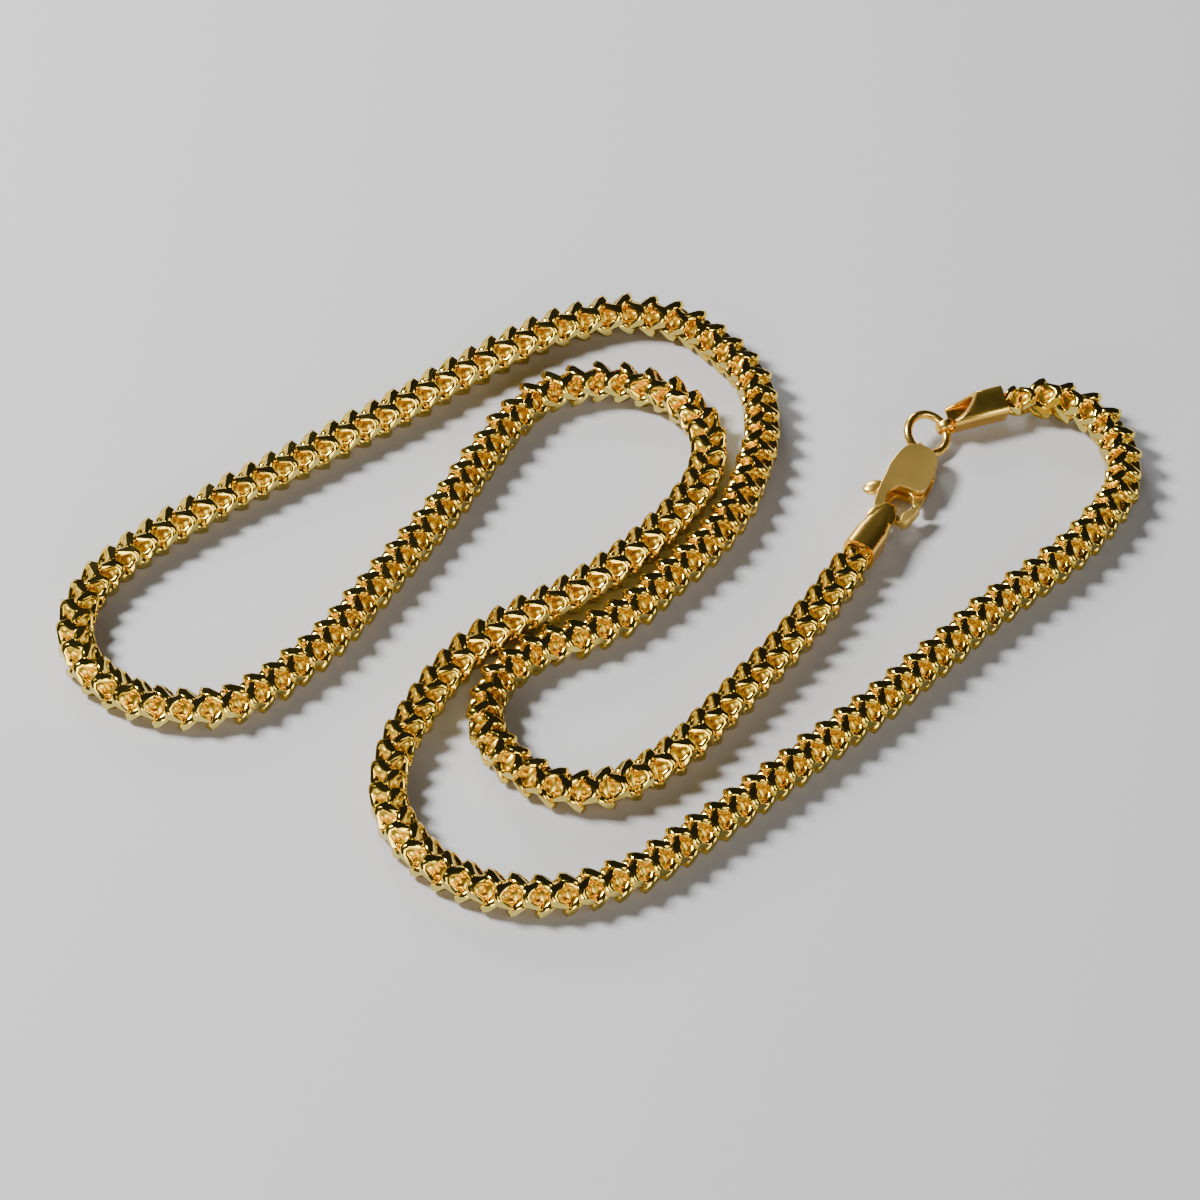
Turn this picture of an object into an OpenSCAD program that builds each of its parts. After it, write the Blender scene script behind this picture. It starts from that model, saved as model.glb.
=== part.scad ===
// Franco neck chain, closed with a lobster clasp, lying on a flat surface.
// Millimetres, +Z up, origin at the middle of the part's underside.

/* [Chain] */
// Width of the chain across its flat faces
chain_w = 4; // [3.6:0.1:4.2]
// Flat left on each face between the bevelled corners
chain_flat = 2.36; // [1.8:0.02:2.6]
// Width of the chain's last link inside an end cap
plug_w = 1.6; // [1.4:0.1:1.8]
// Depth of the last link inside an end cap
plug_l = 1.2; // [0.6:0.1:1.6]

/* [End caps] */
// Outer width of the square end caps
cap_w = 3.1; // [3:0.05:3.3]
// Wall thickness of the end caps
cap_wall = 0.4; // [0.3:0.05:0.45]
// Length of the square sleeve
cap_l = 5.7; // [5.4:0.05:5.75]
// Radius of the slanted cut of the sleeve
scoop_r = 6; // [5:0.5:8]
// Outer radius of the eye at the tip of a cap
eye_r = 1.1; // [1:0.05:1.2]
// Radius of the hole in the eye
eye_hole_r = 0.76; // [0.74:0.01:0.78]
// Width of the eye
eye_w = 0.8; // [0.6:0.05:0.85]

/* [Jump ring] */
// Radius of the ring at the middle of its wire
ring_r = 2.3; // [2.26:0.01:2.34]
// Thickness of the ring's wire
ring_wire = 0.65; // [0.5:0.05:0.7]
// Radius of the bore in the clasp's end lug
lug_hole_r = 0.92; // [0.88:0.01:0.96]

/* [Clasp] */
// Thickness of the clasp body
clasp_t = 2.3; // [2.1:0.1:2.5]
// Height of the slot that the lever turns in
slot_h = 1; // [0.9:0.05:1.2]
// Thickness of the lever
lever_t = 0.8; // [0.7:0.05:0.85]
// Radius of the pivot pin
pin_r = 0.4; // [0.3:0.05:0.5]
// Radial clearance of the lever on its pin
pin_play = 0.05; // [0.03:0.01:0.08]

/* [Hidden] */
$fn = 48;
chain_half = chain_w / 2;
chain_corner = chain_flat / 2;

// Middle of the chain at each ring: x, y and the roll of the section in degrees
route = [
    [23, -0.5, 0], [19, -6.5, 0], [14.5, -12.5, 0], [10.5, -17.5, 0], [7, -21.5, 0],
    [3, -24.5, 0], [-1.5, -26, 0], [-6, -25, 0], [-10, -21.5, 0], [-12, -16.5, 0],
    [-10.2, -11.2, 0], [-6, -7.5, 0], [-1.2, -5.3, 0], [3, -2.2, 0], [7.1, 2.4, 0],
    [10.8, 6.8, 0], [13.8, 12, 0], [15.6, 17.5, 0], [16.5, 23.5, 0], [15.5, 29.5, 0],
    [12, 34.5, 0], [7.5, 38, 0], [2, 39, 0], [-5, 37, 0], [-13, 32, 0],
    [-23, 24.5, 0], [-33, 17.5, 0], [-42, 11, 0], [-49.5, 4.5, 0], [-53, -0.5, 0],
    [-54, -5.5, 0], [-52.5, -10, 0], [-48, -14, 0], [-42, -15.5, 0], [-37, -14.5, 0],
    [-32.5, -11, 0], [-28, -6, 0], [-23, 1.5, 0], [-17, 11, 0], [-12, 20, 0],
    [-9.5, 24, 0], [-6, 27.5, 0], [-1.5, 29, 0], [4, 28.5, 0], [8.5, 25.5, 0],
    [10.8, 20.5, 0], [10.2, 15.5, 0], [7.2, 10.2, 0], [2.4, 4.6, 0], [-3.2, -0.1, 0],
    [-9.3, -4, 0], [-14.8, -9.3, 0], [-18.5, -15.5, 0], [-21, -21.5, 0], [-21.5, -27.5, 0],
    [-19.5, -32.5, 0], [-15.5, -36.5, 0], [-10, -39, 0], [-3.5, -39, 0], [3, -36.5, 0],
    [10, -31, 0], [20, -22, 0], [30, -12.5, 0], [40, -2, 0], [47.5, 5, 0],
    [51.5, 10, 0], [54, 15.5, 0], [53.5, 21, 0], [50.5, 25, 10], [46.5, 26.5, 20]
];

// Mouth of each end cap: x, y, height, then roll, pitch and heading in degrees
hook_mouth = [26.1, 4.7, 2.4];
hook_turn = [4, 7, 62];
ring_mouth = [42, 26, 2.3];
ring_turn = [-20, 0, 198];
// Distance of the eye past the sleeve, and of each eye to the side
eye_out = 0.95;
ring_eye_y = 0.9;
hook_eye_y = 0;
// Gap between the chain's full width and the mouth of a cap
mouth_gap = 0.5;
cap_in = cap_w - 2 * cap_wall;

// Centre of the scoop's cylinder, along the cap and across toward the short edge
scoop_at = [7.25, 5.95];

// Jump ring: middle and tilt of its plane
ring_at = [33.9, 21.95, 1.85];
ring_lean = [0, 28.7, -42];

// Clasp: middle, height of its underside and heading of its long axis
clasp_at = [31.35, 14.65, 0.3];
clasp_turn = -14.93;
slot_z = (clasp_t - slot_h) / 2;
lever_z = (clasp_t - lever_t) / 2;
pivot = [1.2, 0.3];
lug_at = [0.2, 5.3];
lug_r = 1.35;
lug_w = 0.8;
// Thin part of the hook that the cap's eye holds
neck_z = 1.3;
neck_h = 0.75;

function tangent(p, i) =
    let (a = p[max(i - 1, 0)], b = p[min(i + 1, len(p) - 1)], d = [b[0] - a[0], b[1] - a[1]])
    d / norm(d);

// Corners of the eight-sided section, for a half width and a half flat
function section(h, c) = [[h, c], [c, h], [-c, h], [-h, c], [-h, -c], [-c, -h], [c, -h], [h, -c]];

function turn(q, a) = [q[0] * cos(a) - q[1] * sin(a), q[0] * sin(a) + q[1] * cos(a)];

// Height of the chain's middle above the surface at a roll
function lift(a) = max([for (q = section(chain_half, chain_corner)) turn(q, a)[1]]);

// One ring of points: at p, facing t, from a section, a height and a roll
function ring_points(p, t, s, z, a) = [
    for (q = s) let (w = turn(q, a)) [p[0] - t[1] * w[0], p[1] + t[0] * w[0], z + w[1]]
];

function flat_of(v) = [v[0], v[1]];

hook_dir = [cos(hook_turn[2]), sin(hook_turn[2])];
ring_dir = [cos(ring_turn[2]), sin(ring_turn[2])];
hook_face = flat_of(hook_mouth) - mouth_gap * hook_dir;
ring_face = flat_of(ring_mouth) - mouth_gap * ring_dir;
full_section = section(chain_half, chain_corner);
plug_section = section(plug_w / 2, plug_w / 4);

// Every ring of the tube, from inside one cap to inside the other
rings = concat(
    [
        ring_points(hook_face + (plug_l + mouth_gap) * hook_dir, -hook_dir, plug_section, 2.2, 0),
        ring_points(hook_face + 0.05 * hook_dir, -hook_dir, plug_section, 2.3, 0),
        ring_points(hook_face, -hook_dir, full_section, lift(0), 0)
    ],
    [for (i = [0:len(route) - 1])
        ring_points(route[i], tangent(route, i), full_section, lift(route[i][2]), route[i][2])],
    [
        ring_points(ring_face, ring_dir, full_section, lift(20), 20),
        ring_points(ring_face + 0.05 * ring_dir, ring_dir, plug_section, 2.3, 20),
        ring_points(ring_face + (plug_l + mouth_gap) * ring_dir, ring_dir, plug_section, 2.3, 20)
    ]
);
sides = 8;
last = (len(rings) - 1) * sides;

module chain() {
    color("#d9b24a")
    polyhedron(
        points = [for (r = rings) each r],
        faces = concat(
            [[for (k = [0:sides - 1]) k]],
            [for (i = [0:len(rings) - 2]) for (k = [0:sides - 1])
                [i * sides + k, (i + 1) * sides + k, i * sides + (k + 1) % sides]],
            [for (i = [0:len(rings) - 2]) for (k = [0:sides - 1])
                [i * sides + (k + 1) % sides, (i + 1) * sides + k, (i + 1) * sides + (k + 1) % sides]],
            [[for (k = [sides - 1:-1:0]) last + k]]
        )
    );
}

// Square sleeve along +X with its mouth at the origin, cut slantwise, with an eye past its tip
module end_cap(eye_y) {
    tongue_z = -cap_w / 2;
    eye_x = cap_l + eye_out;
    difference() {
        translate([0, -cap_w / 2, -cap_w / 2]) cube([cap_l, cap_w, cap_w]);
        translate([-1, -cap_in / 2, -cap_in / 2]) cube([cap_l + 2, cap_in, cap_in]);
        translate([scoop_at[0], 0, 0])
            rotate([45, 0, 0])
            translate([0, 0, scoop_at[1]])
            rotate([90, 0, 0])
            cylinder(h = 3 * cap_w, r = scoop_r, center = true);
    }
    difference() {
        union() {
            translate([cap_l - 0.5, eye_y - eye_w / 2, tongue_z]) cube([eye_out + 0.5, eye_w, cap_wall]);
            translate([eye_x, eye_y + eye_w / 2, tongue_z + eye_r])
                rotate([90, 0, 0])
                cylinder(h = eye_w, r = eye_r);
        }
        translate([eye_x, eye_y + eye_w, tongue_z + eye_r])
            rotate([90, 0, 0])
            cylinder(h = 2 * eye_w, r = eye_hole_r);
    }
}

module end_cap_ring_side() {
    color("#d8a93c")
    translate(ring_mouth) rotate([0, 0, ring_turn[2]]) rotate([ring_turn[0], 0, 0]) end_cap(ring_eye_y);
}

module end_cap_hook_side() {
    color("#d8a93c")
    translate(hook_mouth)
        rotate([0, 0, hook_turn[2]])
        rotate([0, hook_turn[1], 0])
        rotate([180 + hook_turn[0], 0, 0])
        mirror([0, 1, 0])
        end_cap(hook_eye_y);
}

module jump_ring() {
    color("#d8a93c")
    translate(ring_at)
        rotate(ring_lean)
        rotate_extrude()
        translate([ring_r, 0])
        circle(r = ring_wire / 2, $fn = 24);
}

// Outline of the clasp's body and fixed hook, long axis along +Y
module clasp_outline() {
    polygon([
        [-0.2, 4.3], [-1.16, 4.3], [-1.54, 4.05], [-1.85, 3.09], [-2.13, 2], [-2.25, 0.67],
        [-2.4, -0.53], [-2.51, -1.86], [-2.55, -3.2], [-2.35, -4.1], [-1.8, -4.65], [-1, -4.95],
        [0, -5.35], [0.8, -5.4], [1.44, -5], [1.85, -4.13], [2.2, -3.1], [2.05, -2.8], [1.05, -3.9],
        [0.6, -4.5], [0, -4.65], [-0.8, -4.35], [-1.3, -3.95], [-1.45, -3.2], [-1.41, -1.99],
        [-1.14, -1.35], [-0.66, -0.75], [0.11, -0.73], [1.24, -1], [1.94, -0.81], [2.32, -0.14],
        [2.43, 0.76], [2.59, 1.96], [2.61, 3.27], [2.4, 3.85], [1.86, 4.3]
    ]);
}

module clasp_body() {
    color("#d8a93c")
    translate(clasp_at) rotate([0, 0, clasp_turn]) {
        difference() {
            union() {
                linear_extrude(height = clasp_t) clasp_outline();
                translate([lug_at[0], lug_at[1], clasp_t / 2])
                    rotate([0, 90, 0])
                    cylinder(h = lug_w, r = lug_r, center = true);
            }
            // Slot of the lever, open at both sides of the body
            translate([-3, -2.2, slot_z]) cube([6, 4.4, slot_h]);
            // Bore of the end lug, across the clasp
            translate([lug_at[0], lug_at[1], clasp_t / 2])
                rotate([0, 90, 0])
                cylinder(h = 8, r = lug_hole_r, center = true);
            // The hook is thin where the cap's eye holds it
            translate([-1.85, -6, -1]) cube([2.55, 2.4, 1 + neck_z]);
            translate([-1.85, -6, neck_z + neck_h]) cube([2.55, 2.4, 2]);
        }
        translate([pivot[0], pivot[1], slot_z - 0.1]) cylinder(h = slot_h + 0.2, r = pin_r);
    }
}

// Lever: thumb tab on the left, gate on the right that shuts against the hook's tip
module lever_outline() {
    polygon([
        [-3.2, 0.35], [-3.8, 0.05], [-3.97, -0.95], [-3.5, -1.65], [-2.75, -1.65], [-2.5, -0.5],
        [-0.8, -0.35], [0.3, -0.6], [1.15, -1.3], [1.35, -2.3], [2.05, -2.5], [2.25, -1.5],
        [2.1, 0.4], [1.7, 1.2], [0.8, 1.3], [-0.5, 0.8], [-2.4, 0.45]
    ]);
}

module clasp_lever() {
    color("#dcae44")
    translate(clasp_at) rotate([0, 0, clasp_turn])
    difference() {
        translate([0, 0, lever_z]) linear_extrude(height = lever_t) lever_outline();
        translate([pivot[0], pivot[1], 0]) cylinder(h = clasp_t, r = pin_r + pin_play);
    }
}

chain();
end_cap_ring_side();
end_cap_hook_side();
jump_ring();
clasp_body();
clasp_lever();
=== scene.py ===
"""Franco neck chain in yellow gold, closed by its lobster clasp and lying in loose curves."""

import logging
import math
from dataclasses import dataclass, field
from enum import Enum

import bmesh
import bpy
from mathutils import Matrix, Vector


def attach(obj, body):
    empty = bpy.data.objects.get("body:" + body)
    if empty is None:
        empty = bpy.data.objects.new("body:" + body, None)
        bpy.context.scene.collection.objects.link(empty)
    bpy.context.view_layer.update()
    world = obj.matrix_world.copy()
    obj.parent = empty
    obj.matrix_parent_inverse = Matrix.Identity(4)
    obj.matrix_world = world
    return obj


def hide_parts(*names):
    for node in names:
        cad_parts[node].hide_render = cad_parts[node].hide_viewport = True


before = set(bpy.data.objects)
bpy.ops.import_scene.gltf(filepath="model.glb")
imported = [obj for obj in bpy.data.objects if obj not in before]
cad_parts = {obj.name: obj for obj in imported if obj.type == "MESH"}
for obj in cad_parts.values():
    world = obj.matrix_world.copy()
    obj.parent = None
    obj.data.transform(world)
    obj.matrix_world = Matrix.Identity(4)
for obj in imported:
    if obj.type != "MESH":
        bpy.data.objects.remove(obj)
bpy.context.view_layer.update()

LOG = logging.getLogger("franco_chain")
MM = 0.001

# Short names for types that come up often
Pair = tuple[float, float]
Triple = tuple[float, float, float]
Shape = bmesh.types.BMesh
Socket = bpy.types.NodeSocket
Tree = bpy.types.NodeTree

# Corners closer than this are one corner, in metres
MERGE_WITHIN = 1e-7
# Edges flatter than this are shaded smooth, in degrees
SMOOTH_ANGLE = 40

# The chain's route, as in the part's source: x and y in metres, roll in degrees
ROUTE: tuple[Triple, ...] = (
    (0.0230, -0.0005, 0), (0.0190, -0.0065, 0), (0.0145, -0.0125, 0), (0.0105, -0.0175, 0),
    (0.0070, -0.0215, 0), (0.0030, -0.0245, 0), (-0.0015, -0.0260, 0), (-0.0060, -0.0250, 0),
    (-0.0100, -0.0215, 0), (-0.0120, -0.0165, 0), (-0.0102, -0.0112, 0), (-0.0060, -0.0075, 0),
    (-0.0012, -0.0053, 0), (0.0030, -0.0022, 0), (0.0071, 0.0024, 0), (0.0108, 0.0068, 0),
    (0.0138, 0.0120, 0), (0.0156, 0.0175, 0), (0.0165, 0.0235, 0), (0.0155, 0.0295, 0),
    (0.0120, 0.0345, 0), (0.0075, 0.0380, 0), (0.0020, 0.0390, 0), (-0.0050, 0.0370, 0),
    (-0.0130, 0.0320, 0), (-0.0230, 0.0245, 0), (-0.0330, 0.0175, 0), (-0.0420, 0.0110, 0),
    (-0.0495, 0.0045, 0), (-0.0530, -0.0005, 0), (-0.0540, -0.0055, 0), (-0.0525, -0.0100, 0),
    (-0.0480, -0.0140, 0), (-0.0420, -0.0155, 0), (-0.0370, -0.0145, 0), (-0.0325, -0.0110, 0),
    (-0.0280, -0.0060, 0), (-0.0230, 0.0015, 0), (-0.0170, 0.0110, 0), (-0.0120, 0.0200, 0),
    (-0.0095, 0.0240, 0), (-0.0060, 0.0275, 0), (-0.0015, 0.0290, 0), (0.0040, 0.0285, 0),
    (0.0085, 0.0255, 0), (0.0108, 0.0205, 0), (0.0102, 0.0155, 0), (0.0072, 0.0102, 0),
    (0.0024, 0.0046, 0), (-0.0032, -0.0001, 0), (-0.0093, -0.0040, 0), (-0.0148, -0.0093, 0),
    (-0.0185, -0.0155, 0), (-0.0210, -0.0215, 0), (-0.0215, -0.0275, 0), (-0.0195, -0.0325, 0),
    (-0.0155, -0.0365, 0), (-0.0100, -0.0390, 0), (-0.0035, -0.0390, 0), (0.0030, -0.0365, 0),
    (0.0100, -0.0310, 0), (0.0200, -0.0220, 0), (0.0300, -0.0125, 0), (0.0400, -0.0020, 0),
    (0.0475, 0.0050, 0), (0.0515, 0.0100, 0), (0.0540, 0.0155, 0), (0.0535, 0.0210, 0),
    (0.0505, 0.0250, 10), (0.0465, 0.0265, 20),
)


class CapEnd(Enum):
    """Which end of the chain a cap is on."""

    RING = "end_cap_ring_side"
    HOOK = "end_cap_hook_side"


class Blend(Enum):
    """What a mix node blends: its data type, the places of its two inputs and of its output."""

    NUMBER = ("FLOAT", 2, 3, 0)
    COLOUR = ("RGBA", 6, 7, 2)


def add_node(tree: Tree, kind: str, inputs: dict[str | int, object], **settings: str) -> bpy.types.Node:
    """Add a node to a tree.

    Args:
        tree: The tree.
        kind: Blender's name for the kind of node.
        inputs: What goes into each input: a value, or another node's output.
        **settings: The node's own settings.

    Returns:
        The new node.
    """
    node = tree.nodes.new(kind)
    for name, value in settings.items():
        setattr(node, name, value)
    for name, value in inputs.items():
        if isinstance(value, Socket):
            tree.links.new(value, node.inputs[name])
        else:
            node.inputs[name].default_value = value
    return node


def add_mix(tree: Tree, blend: Blend, share: Socket, plain: Socket | tuple | float,
            other: Socket | tuple | float) -> Socket:
    """Mix two numbers or two colours.

    Args:
        tree: The material's tree.
        blend: Which of the two is mixed.
        share: How much of the other one shows.
        plain: What shows at a share of 0.
        other: What shows at a share of 1.

    Returns:
        The mix's output.
    """
    data_type, plain_place, other_place, result_place = blend.value
    inputs = {0: share, plain_place: plain, other_place: other}
    return add_node(tree, "ShaderNodeMix", inputs, data_type=data_type).outputs[result_place]


@dataclass(frozen=True)
class Gold:
    """A polished gold, as a metal shader with the faint wear and polishing marks of real jewellery, and
    painted shade on its flat cuts where it has a colour for them.

    Attributes:
        name: Name of the material.
        colour: Reflected colour, linear.
        roughness: Blur of its reflections.
        painted_dark_cut_colour: Colour of the flat bright-cut faces, darker than the gold as painted shade,
            or None where it has none.
        cut_roughness: Blur of the reflections in the bright-cut faces.
        inner_roughness: Blur of the reflections inside the links.
        worn_colour: Colour of the patches that are handled most, as a share of the colour.
        wear: How much the blur changes between the patches.
        patches: Patches of wear to the metre.
        marks: Height of the fine polishing marks, in metres.
        mark_density: Marks to the metre, across them and along them.
        mark_heading: Turn of the marks from +Y, in degrees.
        ripple: Height of the slow unevenness that hand polishing leaves, in metres.
        ripple_density: Ripples to the metre.
    """

    name: str
    colour: Triple
    roughness: float
    painted_dark_cut_colour: Triple | None = None
    cut_roughness: float = 0.05
    inner_roughness: float = 0.32
    worn_colour: Triple = (0.90, 0.84, 0.74)
    wear: float = 0.05
    patches: float = 700.0
    marks: float = 0.0
    mark_density: Pair = (7000.0, 450.0)
    mark_heading: float = 0.0
    ripple: float = 0.0
    ripple_density: float = 160.0

    def make(self) -> bpy.types.Material:
        """Build the material.

        Returns:
            The finished material.
        """
        material = bpy.data.materials.new(self.name)
        material.use_nodes = True
        tree = material.node_tree
        shader = tree.nodes["Principled BSDF"]
        shader.inputs["Metallic"].default_value = 1.0
        place = add_node(tree, "ShaderNodeTexCoord", {}).outputs["Object"]
        patches = add_node(tree, "ShaderNodeTexNoise", {"Vector": place, "Scale": self.patches})
        worn = patches.outputs["Fac"]
        deep = tuple(c * w for c, w in zip(self.colour, self.worn_colour))
        colour = add_mix(tree, Blend.COLOUR, worn, (*self.colour, 1.0), (*deep, 1.0))
        blur = add_node(tree, "ShaderNodeMapRange", {
            "Value": worn, "To Min": self.roughness - self.wear, "To Max": self.roughness + self.wear,
        })
        roughness = blur.outputs["Result"]
        if self.painted_dark_cut_colour is not None:
            colour, roughness = self.add_cuts(tree, colour, roughness)
        tree.links.new(colour, shader.inputs["Base Color"])
        tree.links.new(roughness, shader.inputs["Roughness"])
        if self.marks or self.ripple:
            tree.links.new(self.add_marks(tree, place), shader.inputs["Normal"])
        return material

    def add_cuts(self, tree: Tree, colour: Socket, roughness: Socket) -> tuple[Socket, Socket]:
        """Give the links' cut faces their own blur and a darker colour that is painted shade, and give the
        insides their own blur.

        Args:
            tree: The material's tree.
            colour: Where the plain colour comes from.
            roughness: Where the plain blur comes from.

        Returns:
            Where the colour and the blur come from then.
        """
        cut, inner = (
            add_node(tree, "ShaderNodeAttribute", {}, attribute_name=name).outputs["Fac"]
            for name in ("bright_cut", "inner_wire")
        )
        # The cut faces' darker colour is painted shade, standing in for the dark room that they reflect
        colour = add_mix(tree, Blend.COLOUR, cut, colour, (*self.painted_dark_cut_colour, 1.0))
        roughness = add_mix(tree, Blend.NUMBER, cut, roughness, self.cut_roughness)
        return colour, add_mix(tree, Blend.NUMBER, inner, roughness, self.inner_roughness)

    def add_marks(self, tree: Tree, place: Socket) -> Socket:
        """Add the fine marks and the slow ripple of polishing as relief.

        Args:
            tree: The material's tree.
            place: Where the place on the piece comes from.

        Returns:
            Where the surface direction comes from.
        """
        across, along = (1 / density for density in self.mark_density)
        drawn = add_node(tree, "ShaderNodeMapping", {
            "Vector": place, "Rotation": (0, 0, math.radians(self.mark_heading)),
            "Scale": (across, along, across),
        }, vector_type="TEXTURE")
        fine = add_node(tree, "ShaderNodeTexNoise", {"Vector": drawn.outputs["Vector"], "Scale": 1.0})
        slow = add_node(
            tree, "ShaderNodeTexNoise", {"Vector": place, "Scale": self.ripple_density, "Detail": 0.0}
        )
        ripple = add_node(
            tree, "ShaderNodeBump", {"Height": slow.outputs["Fac"], "Distance": self.ripple}
        )
        marks = add_node(tree, "ShaderNodeBump", {
            "Height": fine.outputs["Fac"], "Distance": self.marks, "Normal": ripple.outputs["Normal"],
        })
        return marks.outputs["Normal"]


@dataclass(frozen=True)
class Matte:
    """The plain floor's finish.

    Attributes:
        name: Name of the material.
        colour: Its colour, linear.
        roughness: Blur of its reflections.
        shine: Strength of its reflections.
    """

    name: str
    colour: Triple
    roughness: float = 0.9
    shine: float = 0.1

    def make(self) -> bpy.types.Material:
        """Build the material.

        Returns:
            The finished material.
        """
        material = bpy.data.materials.new(self.name)
        material.use_nodes = True
        shader = material.node_tree.nodes["Principled BSDF"]
        shader.inputs["Base Color"].default_value = (*self.colour, 1.0)
        shader.inputs["Roughness"].default_value = self.roughness
        shader.inputs["Specular IOR Level"].default_value = self.shine
        return material


# The darker colour of the links' flat cuts is painted shade
LINK_GOLD = Gold(
    "link_gold", (1.0, 0.71, 0.09), roughness=0.15, painted_dark_cut_colour=(0.70, 0.56, 0.14), cut_roughness=0.10
)
FITTING_GOLD = Gold(
    "fitting_gold", (1.0, 0.65, 0.13), roughness=0.26, patches=500.0, marks=3e-6, mark_heading=20.0,
    ripple=4e-5,
)
FACE_GOLD = Gold(
    "clasp_face_gold", (1.0, 0.68, 0.17), roughness=0.30, patches=300.0, marks=6e-6,
    mark_heading=-15.0, ripple=3e-4,
)


def new_object(name: str, shape: Shape, finish: bpy.types.Material | None) -> bpy.types.Object:
    """Turn a shape into an object in the scene.

    Args:
        name: Name of the object and its mesh.
        shape: The shape, which is used up.
        finish: Its material, or None for a tool that never shows.

    Returns:
        The new object.
    """
    mesh = bpy.data.meshes.new(name)
    shape.to_mesh(mesh)
    shape.free()
    if finish is not None:
        mesh.materials.append(finish)
    obj = bpy.data.objects.new(name, mesh)
    bpy.context.collection.objects.link(obj)
    return obj


def evaluated_mesh(obj: bpy.types.Object) -> bpy.types.Mesh:
    """Work out what an object's modifiers make of it.

    Args:
        obj: The object.

    Returns:
        The result as a plain mesh.
    """
    graph = bpy.context.evaluated_depsgraph_get()
    graph.update()
    return bpy.data.meshes.new_from_object(obj.evaluated_get(graph), depsgraph=graph)


def apply_modifiers(obj: bpy.types.Object) -> None:
    """Make an object's modifiers part of its mesh.

    Args:
        obj: The object, whose modifiers are removed.
    """
    mesh = evaluated_mesh(obj)
    obj.modifiers.clear()
    old = obj.data
    obj.data = mesh
    mesh.name = obj.name
    bpy.data.meshes.remove(old)


def cut_away(obj: bpy.types.Object, cutter: Shape) -> None:
    """Cut a closed shape out of an object.

    Args:
        obj: The object that is cut.
        cutter: The closed shape that goes, which is used up.
    """
    tool = new_object("cutter", cutter, None)
    boolean = obj.modifiers.new("cut", "BOOLEAN")
    boolean.operation = "DIFFERENCE"
    boolean.solver = "EXACT"
    boolean.object = tool
    apply_modifiers(obj)
    # The tool's object goes with its mesh
    bpy.data.meshes.remove(tool.data)


def add_shape(obj: bpy.types.Object, shape: Shape) -> None:
    """Add a closed shape to an object's mesh.

    Args:
        obj: The object.
        shape: The shape that is added, which is used up.
    """
    extra = bpy.data.meshes.new("extra")
    shape.to_mesh(extra)
    shape.free()
    merged = bmesh.new()
    merged.from_mesh(obj.data)
    merged.from_mesh(extra)
    merged.to_mesh(obj.data)
    merged.free()
    bpy.data.meshes.remove(extra)


def place_piece(obj: bpy.types.Object, place: Matrix) -> None:
    """Move a piece's mesh into place, merge its doubles and turn its faces outward.

    Args:
        obj: The piece.
        place: Where it goes, from its own frame to the row frame.
    """
    shape = bmesh.new()
    shape.from_mesh(obj.data)
    shape.transform(place)
    bmesh.ops.remove_doubles(shape, verts=shape.verts, dist=MERGE_WITHIN)
    bmesh.ops.recalc_face_normals(shape, faces=shape.faces)
    shape.to_mesh(obj.data)
    shape.free()


def soften_edges(obj: bpy.types.Object, width: float, segments: int, angle: float) -> None:
    """Round an object's sharp edges and shade it smooth between them.

    Args:
        obj: The object.
        width: Width of the rounding, in metres.
        segments: Faces across the rounding.
        angle: Edges sharper than this many degrees are rounded.
    """
    bevel = obj.modifiers.new("soft_edges", "BEVEL")
    bevel.width = width
    bevel.segments = segments
    bevel.limit_method = "ANGLE"
    bevel.angle_limit = math.radians(angle)
    apply_modifiers(obj)
    obj.data.shade_smooth()
    obj.data.set_sharp_from_angle(angle=math.radians(SMOOTH_ANGLE))
    even = obj.modifiers.new("even_shading", "WEIGHTED_NORMAL")
    even.keep_sharp = True
    apply_modifiers(obj)


def finish_piece(obj: bpy.types.Object, body: str, node: str) -> bpy.types.Object:
    """Hand a piece to its CAD body.

    Args:
        obj: The piece, in place.
        body: The body that it moves with.
        node: The CAD node that it stands for.

    Returns:
        The same piece.
    """
    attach(obj, body)
    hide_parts(node)
    LOG.info("%s: %d faces on %s", obj.name, len(obj.data.polygons), body)
    return obj


def prism(outline: list[Pair], low: float, high: float) -> Shape:
    """Extrude a flat outline from one height up to another, as a closed shape."""
    return skin([[Vector((x, y, z)) for x, y in outline] for z in (low, high)], closed=False)


def block(low: Triple, high: Triple) -> Shape:
    """Build a block from its corner with the lowest x, y and z to the opposite one."""
    (left, front, under), (right, back, top) = low, high
    return prism([(left, front), (right, front), (right, back), (left, back)], under, top)


def smooth_loop(points: list[Pair], steps: int) -> list[Pair]:
    """Round a closed outline through its points.

    Args:
        points: Corners of the outline.
        steps: Pieces that each side becomes.

    Returns:
        The finer outline.
    """
    count = len(points)
    finer = []
    for i in range(count):
        a, b, c, d = (Vector(points[(i + k) % count]) for k in (-1, 0, 1, 2))
        for k in range(steps):
            t = k / steps
            p = 0.5 * (
                2 * b + (c - a) * t + (2 * a - 5 * b + 4 * c - d) * t * t
                + (3 * b - a - 3 * c + d) * t**3
            )
            finer.append((p.x, p.y))
    return finer


def circle(count: int) -> list[float]:
    """Angles of evenly spaced points round a circle, in radians."""
    return [2 * math.pi * k / count for k in range(count)]


def skin(rings: list[list[Vector]], closed: bool) -> Shape:
    """Cover a row of rings that have the same number of points.

    Args:
        rings: Points round each ring, in the same order in all.
        closed: Whether the last ring joins the first one; otherwise both ends are closed off.

    Returns:
        A closed shape.
    """
    shape = bmesh.new()
    loops = [[shape.verts.new(p) for p in ring] for ring in rings]
    following = loops[1:] + loops[:1] if closed else loops[1:]
    for a, b in zip(loops, following):
        for k in range(len(a)):
            m = (k + 1) % len(a)
            shape.faces.new((a[k], b[k], b[m], a[m]))
    if not closed:
        shape.faces.new(loops[0])
        shape.faces.new(list(reversed(loops[-1])))
    bmesh.ops.recalc_face_normals(shape, faces=shape.faces)
    return shape


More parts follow.
